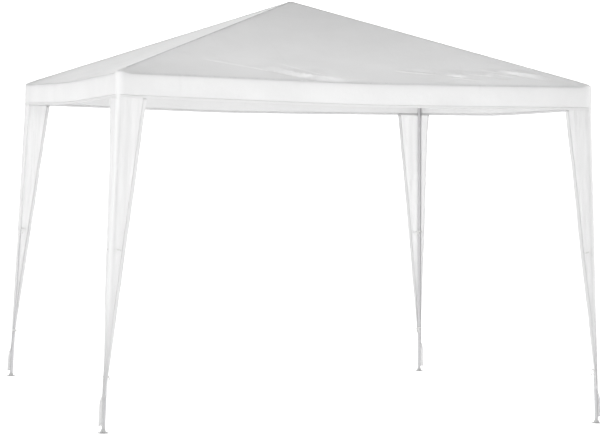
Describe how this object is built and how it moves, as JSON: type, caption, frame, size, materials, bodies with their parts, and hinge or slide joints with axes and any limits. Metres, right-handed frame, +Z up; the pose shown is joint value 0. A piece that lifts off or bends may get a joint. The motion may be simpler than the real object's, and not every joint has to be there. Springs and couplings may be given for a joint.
{
  "type": "party tent",
  "caption": "Square open-sided party tent: pyramid roof sheet with a short valance and tapered corner curtains on a socketed steel tube frame with small disc feet.",
  "frame": {"origin": "on the ground, under the peak, at the middle of the square of four feet", "axes": "+Z up; -Y is the front, the long side seen in the picture, with +X to its right"},
  "size_m": [3.177, 3.177, 2.6345],
  "materials": {
    "white_tarpaulin": "satin coated weave",
    "painted_steel": "semi gloss powder coat",
    "grey_plastic": "moulded, matt"
  },
  "bodies": {
    "root": {"foot_front_left": "painted_steel", "leg_lower_front_left": "painted_steel", "leg_upper_front_left": "painted_steel", "corner_connector_front_left": "grey_plastic", "rafter_lower_front_left": "painted_steel", "rafter_upper_front_left": "painted_steel", "corner_curtain_front_left": "white_tarpaulin", "foot_front_right": "painted_steel", "leg_lower_front_right": "painted_steel", "leg_upper_front_right": "painted_steel", "corner_connector_front_right": "grey_plastic", "rafter_lower_front_right": "painted_steel", "rafter_upper_front_right": "painted_steel", "corner_curtain_front_right": "white_tarpaulin", "foot_back_right": "painted_steel", "leg_lower_back_right": "painted_steel", "leg_upper_back_right": "painted_steel", "corner_connector_back_right": "grey_plastic", "rafter_lower_back_right": "painted_steel", "rafter_upper_back_right": "painted_steel", "corner_curtain_back_right": "white_tarpaulin", "foot_back_left": "painted_steel", "leg_lower_back_left": "painted_steel", "leg_upper_back_left": "painted_steel", "corner_connector_back_left": "grey_plastic", "rafter_lower_back_left": "painted_steel", "rafter_upper_back_left": "painted_steel", "corner_curtain_back_left": "white_tarpaulin", "eave_tube_first_front": "painted_steel", "eave_tube_second_front": "painted_steel", "roof_panel_front": "white_tarpaulin", "valance_front": "white_tarpaulin", "eave_tube_first_right": "painted_steel", "eave_tube_second_right": "painted_steel", "roof_panel_right": "white_tarpaulin", "valance_right": "white_tarpaulin", "eave_tube_first_back": "painted_steel", "eave_tube_second_back": "painted_steel", "roof_panel_back": "white_tarpaulin", "valance_back": "white_tarpaulin", "eave_tube_first_left": "painted_steel", "eave_tube_second_left": "painted_steel", "roof_panel_left": "white_tarpaulin", "valance_left": "white_tarpaulin", "peak_connector": "grey_plastic"}
  },
  "joints": []
}
